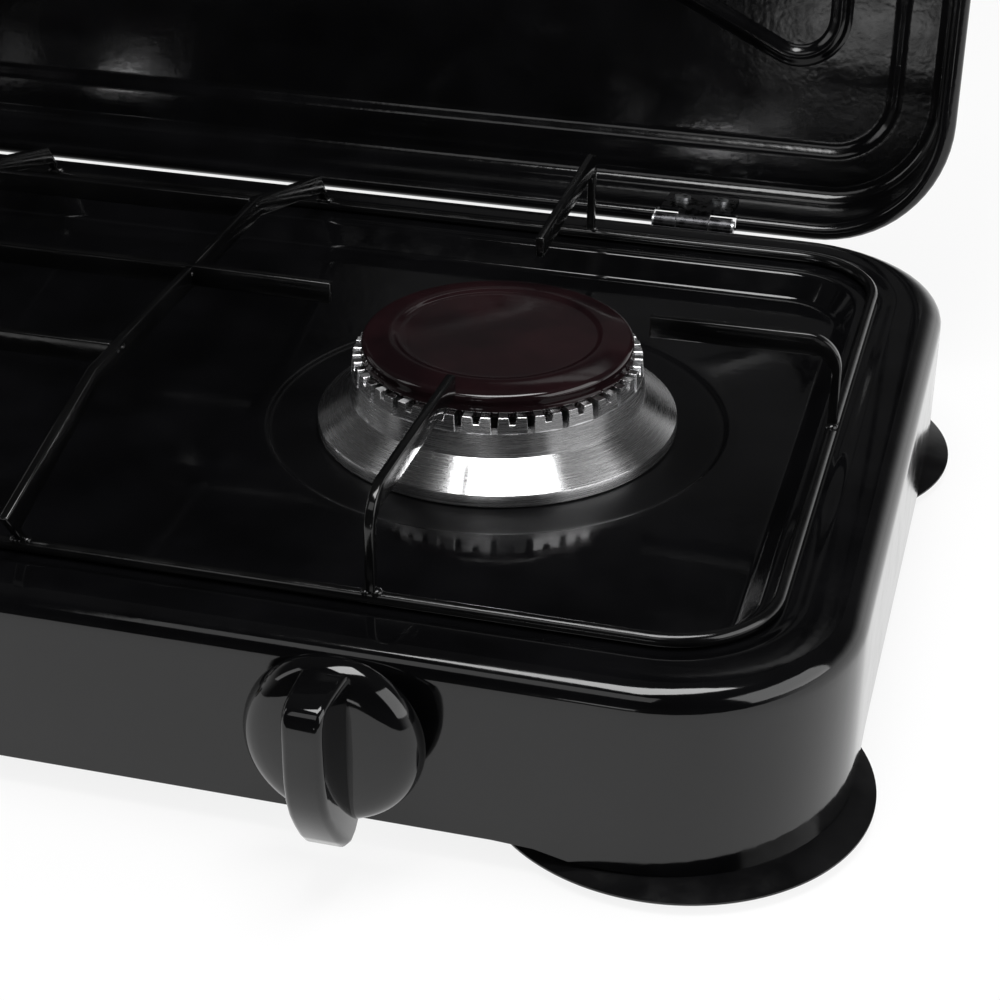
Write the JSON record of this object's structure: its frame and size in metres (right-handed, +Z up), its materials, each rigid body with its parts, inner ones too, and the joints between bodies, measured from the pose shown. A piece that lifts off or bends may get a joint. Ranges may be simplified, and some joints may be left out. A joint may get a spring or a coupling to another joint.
{
  "type": "two-burner gas stove",
  "caption": "Low tabletop gas stove with a hinged pressed lid, slotted burners with enamelled caps, push-and-turn knobs and a welded wire grate.",
  "frame": {"origin": "on the table, under the middle of the whole stove with its lid open", "axes": "+X to the right, +Y to the back, +Z up"},
  "size_m": [0.5124, 0.3601, 0.3156],
  "materials": {
    "black_enamel": "gloss",
    "foot_plastic": "gloss",
    "foot_rubber": "matt",
    "zinc_steel": "satin",
    "hinge_steel": "satin",
    "spring_steel": "satin",
    "rail_steel": "satin",
    "valve_brass": "satin",
    "valve_cast": "satin",
    "cup_metal": "satin",
    "burner_metal": "machined",
    "cap_enamel": "gloss",
    "knob_plastic": "gloss"
  },
  "bodies": {
    "stove_base": {"body_shell": "black_enamel", "foot_front_right": "foot_plastic", "foot_front_left": "foot_plastic", "foot_back_right": "foot_plastic", "foot_back_left": "foot_plastic", "foot_pads": "foot_rubber", "foot_screws": "zinc_steel", "gas_rail": "rail_steel", "rail_plug": "zinc_steel", "inlet_nozzle": "valve_brass", "inlet_nut": "zinc_steel", "valve_body_right": "valve_cast", "valve_body_left": "valve_cast", "jet_right": "valve_brass", "jet_left": "valve_brass", "panel_screws": "zinc_steel", "burner_cup_right": "cup_metal", "burner_cup_left": "cup_metal", "air_shutter_right": "cup_metal", "air_shutter_left": "cup_metal", "cup_screws": "zinc_steel", "hinge_leaf_body_right": "hinge_steel", "hinge_leaf_body_left": "hinge_steel", "hinge_screws": "zinc_steel", "hinge_pin_right": "zinc_steel", "hinge_pin_left": "zinc_steel"},
    "lid": {"lid_shell": "black_enamel", "hinge_leaf_lid_right": "hinge_steel", "hinge_leaf_lid_left": "hinge_steel", "lid_rivets": "zinc_steel"},
    "grate": {"grate_frame": "black_enamel", "grate_divider_right": "black_enamel", "grate_divider_left": "black_enamel", "grate_bar_middle": "black_enamel", "grate_bar_front": "black_enamel", "grate_bar_back": "black_enamel", "grate_finger_front_right": "black_enamel", "grate_finger_back_right": "black_enamel", "grate_finger_side_right": "black_enamel", "grate_finger_front_left": "black_enamel", "grate_finger_back_left": "black_enamel", "grate_finger_side_left": "black_enamel"},
    "push_right": {"thrust_washer_right": "zinc_steel", "stem_spring_right": "spring_steel"},
    "knob_right": {"knob_right": "knob_plastic", "valve_stem_right": "valve_brass"},
    "burner_right": {"burner_head_right": "burner_metal"},
    "cap_right": {"burner_cap_right": "cap_enamel"},
    "push_left": {"thrust_washer_left": "zinc_steel", "stem_spring_left": "spring_steel"},
    "knob_left": {"knob_left": "knob_plastic", "valve_stem_left": "valve_brass"},
    "burner_left": {"burner_head_left": "burner_metal"},
    "cap_left": {"burner_cap_left": "cap_enamel"}
  },
  "joints": [
    {"name": "lid_hinge", "type": "hinge", "parent": "stove_base", "child": "lid", "pos_m": [0, 0.11842, 0.053], "axis": [1, 0, 0], "range_deg": [0, 96.5]},
    {"name": "grate_lift", "type": "slide", "parent": "stove_base", "child": "grate", "axis": [0, 0, 1], "range_m": [0, 0.06]},
    {"name": "knob_push_right", "type": "slide", "parent": "stove_base", "child": "push_right", "axis": [0, 1, 0], "range_m": [0, 0.003], "stiffness_N_per_m": 800, "springref_m": -0.004},
    {"name": "knob_turn_right", "type": "hinge", "parent": "push_right", "child": "knob_right", "pos_m": [0.1365, -0.15608, 0.0353], "axis": [0, -1, 0], "range_deg": [0, 210]},
    {"name": "burner_lift_right", "type": "slide", "parent": "stove_base", "child": "burner_right", "axis": [0, 0, 1], "range_m": [0, 0.02]},
    {"name": "cap_lift_right", "type": "slide", "parent": "burner_right", "child": "cap_right", "axis": [0, 0, 1], "range_m": [0, 0.012]},
    {"name": "knob_push_left", "type": "slide", "parent": "stove_base", "child": "push_left", "axis": [0, 1, 0], "range_m": [0, 0.003], "stiffness_N_per_m": 800, "springref_m": -0.004},
    {"name": "knob_turn_left", "type": "hinge", "parent": "push_left", "child": "knob_left", "pos_m": [-0.1365, -0.15608, 0.0353], "axis": [0, -1, 0], "range_deg": [0, 210]},
    {"name": "burner_lift_left", "type": "slide", "parent": "stove_base", "child": "burner_left", "axis": [0, 0, 1], "range_m": [0, 0.02]},
    {"name": "cap_lift_left", "type": "slide", "parent": "burner_left", "child": "cap_left", "axis": [0, 0, 1], "range_m": [0, 0.012]}
  ]
}
